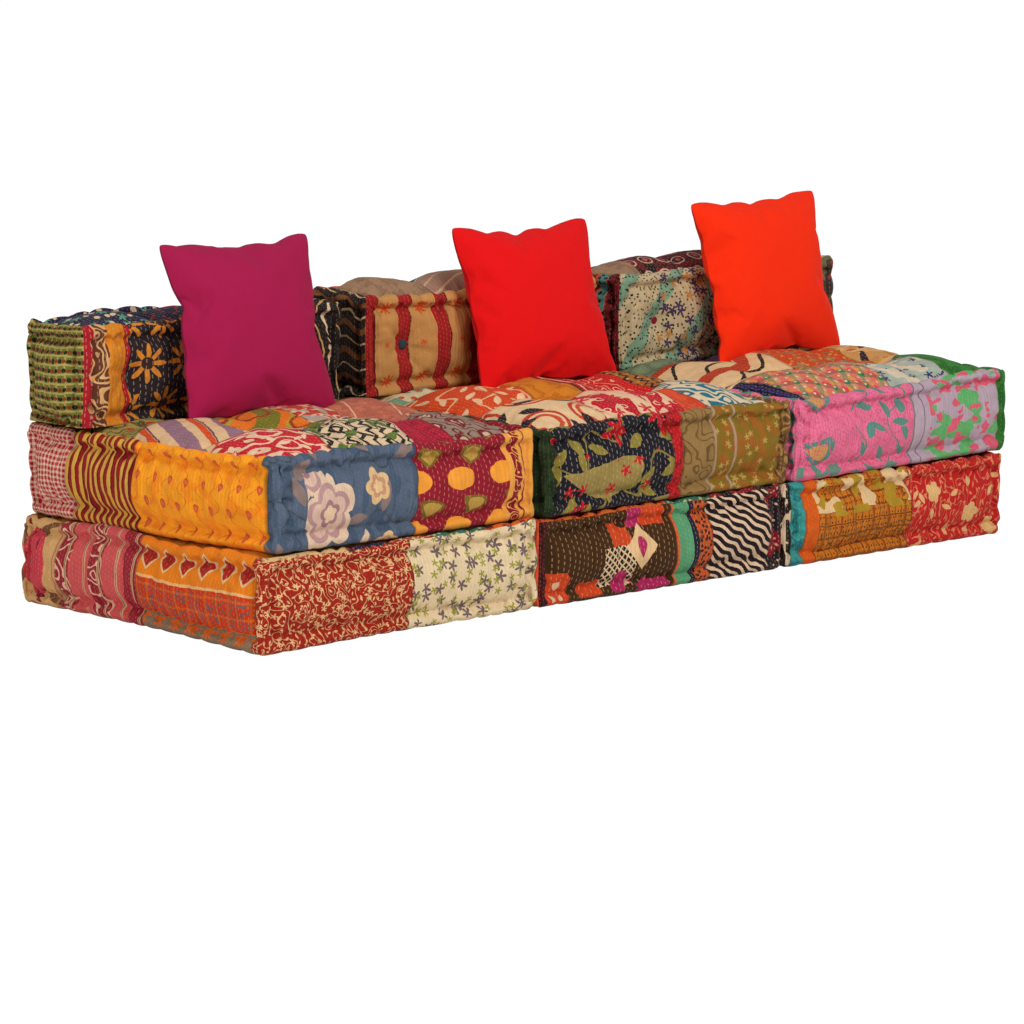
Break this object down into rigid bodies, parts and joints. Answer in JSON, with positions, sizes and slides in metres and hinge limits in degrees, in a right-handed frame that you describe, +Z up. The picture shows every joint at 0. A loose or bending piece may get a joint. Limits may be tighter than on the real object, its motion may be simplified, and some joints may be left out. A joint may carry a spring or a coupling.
{
  "type": "modular pouf sofa",
  "caption": "Low floor sofa of loose modules in a row, each a base, seat and back cushion in tufted patchwork, with a scatter pillow leaning on each back.",
  "frame": {"origin": "middle of the middle base's flat underside, on the floor", "axes": "+X along the row to the right as seen from the front, +Y to the rear where the backs stand, -Y the front, +Z up"},
  "size_m": [2.1391, 0.7551, 0.7432],
  "materials": {
    "patchwork_base": "matte quilted cotton patchwork",
    "patchwork_seat": "matte quilted cotton patchwork",
    "patchwork_back": "matte quilted cotton patchwork",
    "tuft_button": "matte cloth-covered button",
    "tuft_thread": "matte waxed cotton twine",
    "cotton_filling": "matte carded cotton",
    "magenta_cloth": "soft matte plain weave",
    "red_cloth": "soft matte plain weave",
    "orange_cloth": "soft matte plain weave"
  },
  "bodies": {
    "left_base": {"left_base_cover": "patchwork_base", "left_base_fill": "cotton_filling", "left_base_buttons": "tuft_button", "left_base_ties": "tuft_thread"},
    "left_seat": {"left_seat_cover": "patchwork_seat", "left_seat_fill": "cotton_filling", "left_seat_buttons": "tuft_button", "left_seat_ties": "tuft_thread"},
    "left_back": {"left_back_cover": "patchwork_back", "left_back_fill": "cotton_filling", "left_back_buttons": "tuft_button", "left_back_ties": "tuft_thread"},
    "middle_base": {"middle_base_cover": "patchwork_base", "middle_base_fill": "cotton_filling", "middle_base_buttons": "tuft_button", "middle_base_ties": "tuft_thread"},
    "middle_seat": {"middle_seat_cover": "patchwork_seat", "middle_seat_fill": "cotton_filling", "middle_seat_buttons": "tuft_button", "middle_seat_ties": "tuft_thread"},
    "middle_back": {"middle_back_cover": "patchwork_back", "middle_back_fill": "cotton_filling", "middle_back_buttons": "tuft_button", "middle_back_ties": "tuft_thread"},
    "right_base": {"right_base_cover": "patchwork_base", "right_base_fill": "cotton_filling", "right_base_buttons": "tuft_button", "right_base_ties": "tuft_thread"},
    "right_seat": {"right_seat_cover": "patchwork_seat", "right_seat_fill": "cotton_filling", "right_seat_buttons": "tuft_button", "right_seat_ties": "tuft_thread"},
    "right_back": {"right_back_cover": "patchwork_back", "right_back_fill": "cotton_filling", "right_back_buttons": "tuft_button", "right_back_ties": "tuft_thread"},
    "magenta_pillow": {"magenta_pillow_cover": "magenta_cloth", "magenta_pillow_pad": "cotton_filling"},
    "red_pillow": {"red_pillow_cover": "red_cloth", "red_pillow_pad": "cotton_filling"},
    "orange_pillow": {"orange_pillow_cover": "orange_cloth", "orange_pillow_pad": "cotton_filling"}
  },
  "joints": [
    {"name": "left_module_part", "type": "slide", "parent": "middle_base", "child": "left_base", "axis": [-1, 0, 0], "range_m": [0, 0.4]},
    {"name": "right_module_part", "type": "slide", "parent": "middle_base", "child": "right_base", "axis": [1, 0, 0], "range_m": [0, 0.4]},
    {"name": "left_seat_lift", "type": "slide", "parent": "left_base", "child": "left_seat", "axis": [0, 0, 1], "range_m": [0, 0.25]},
    {"name": "middle_seat_lift", "type": "slide", "parent": "middle_base", "child": "middle_seat", "axis": [0, 0, 1], "range_m": [0, 0.25]},
    {"name": "right_seat_lift", "type": "slide", "parent": "right_base", "child": "right_seat", "axis": [0, 0, 1], "range_m": [0, 0.25]},
    {"name": "left_back_lift", "type": "slide", "parent": "left_seat", "child": "left_back", "axis": [0, 0, 1], "range_m": [0, 0.25]},
    {"name": "middle_back_lift", "type": "slide", "parent": "middle_seat", "child": "middle_back", "axis": [0, 0, 1], "range_m": [0, 0.25]},
    {"name": "right_back_lift", "type": "slide", "parent": "right_seat", "child": "right_back", "axis": [0, 0, 1], "range_m": [0, 0.25]},
    {"name": "magenta_pillow_lift", "type": "slide", "parent": "left_back", "child": "magenta_pillow", "axis": [0, 0, 1], "range_m": [0, 0.25]},
    {"name": "red_pillow_lift", "type": "slide", "parent": "middle_back", "child": "red_pillow", "axis": [0, 0, 1], "range_m": [0, 0.25]},
    {"name": "orange_pillow_lift", "type": "slide", "parent": "right_back", "child": "orange_pillow", "axis": [0, 0, 1], "range_m": [0, 0.25]}
  ]
}
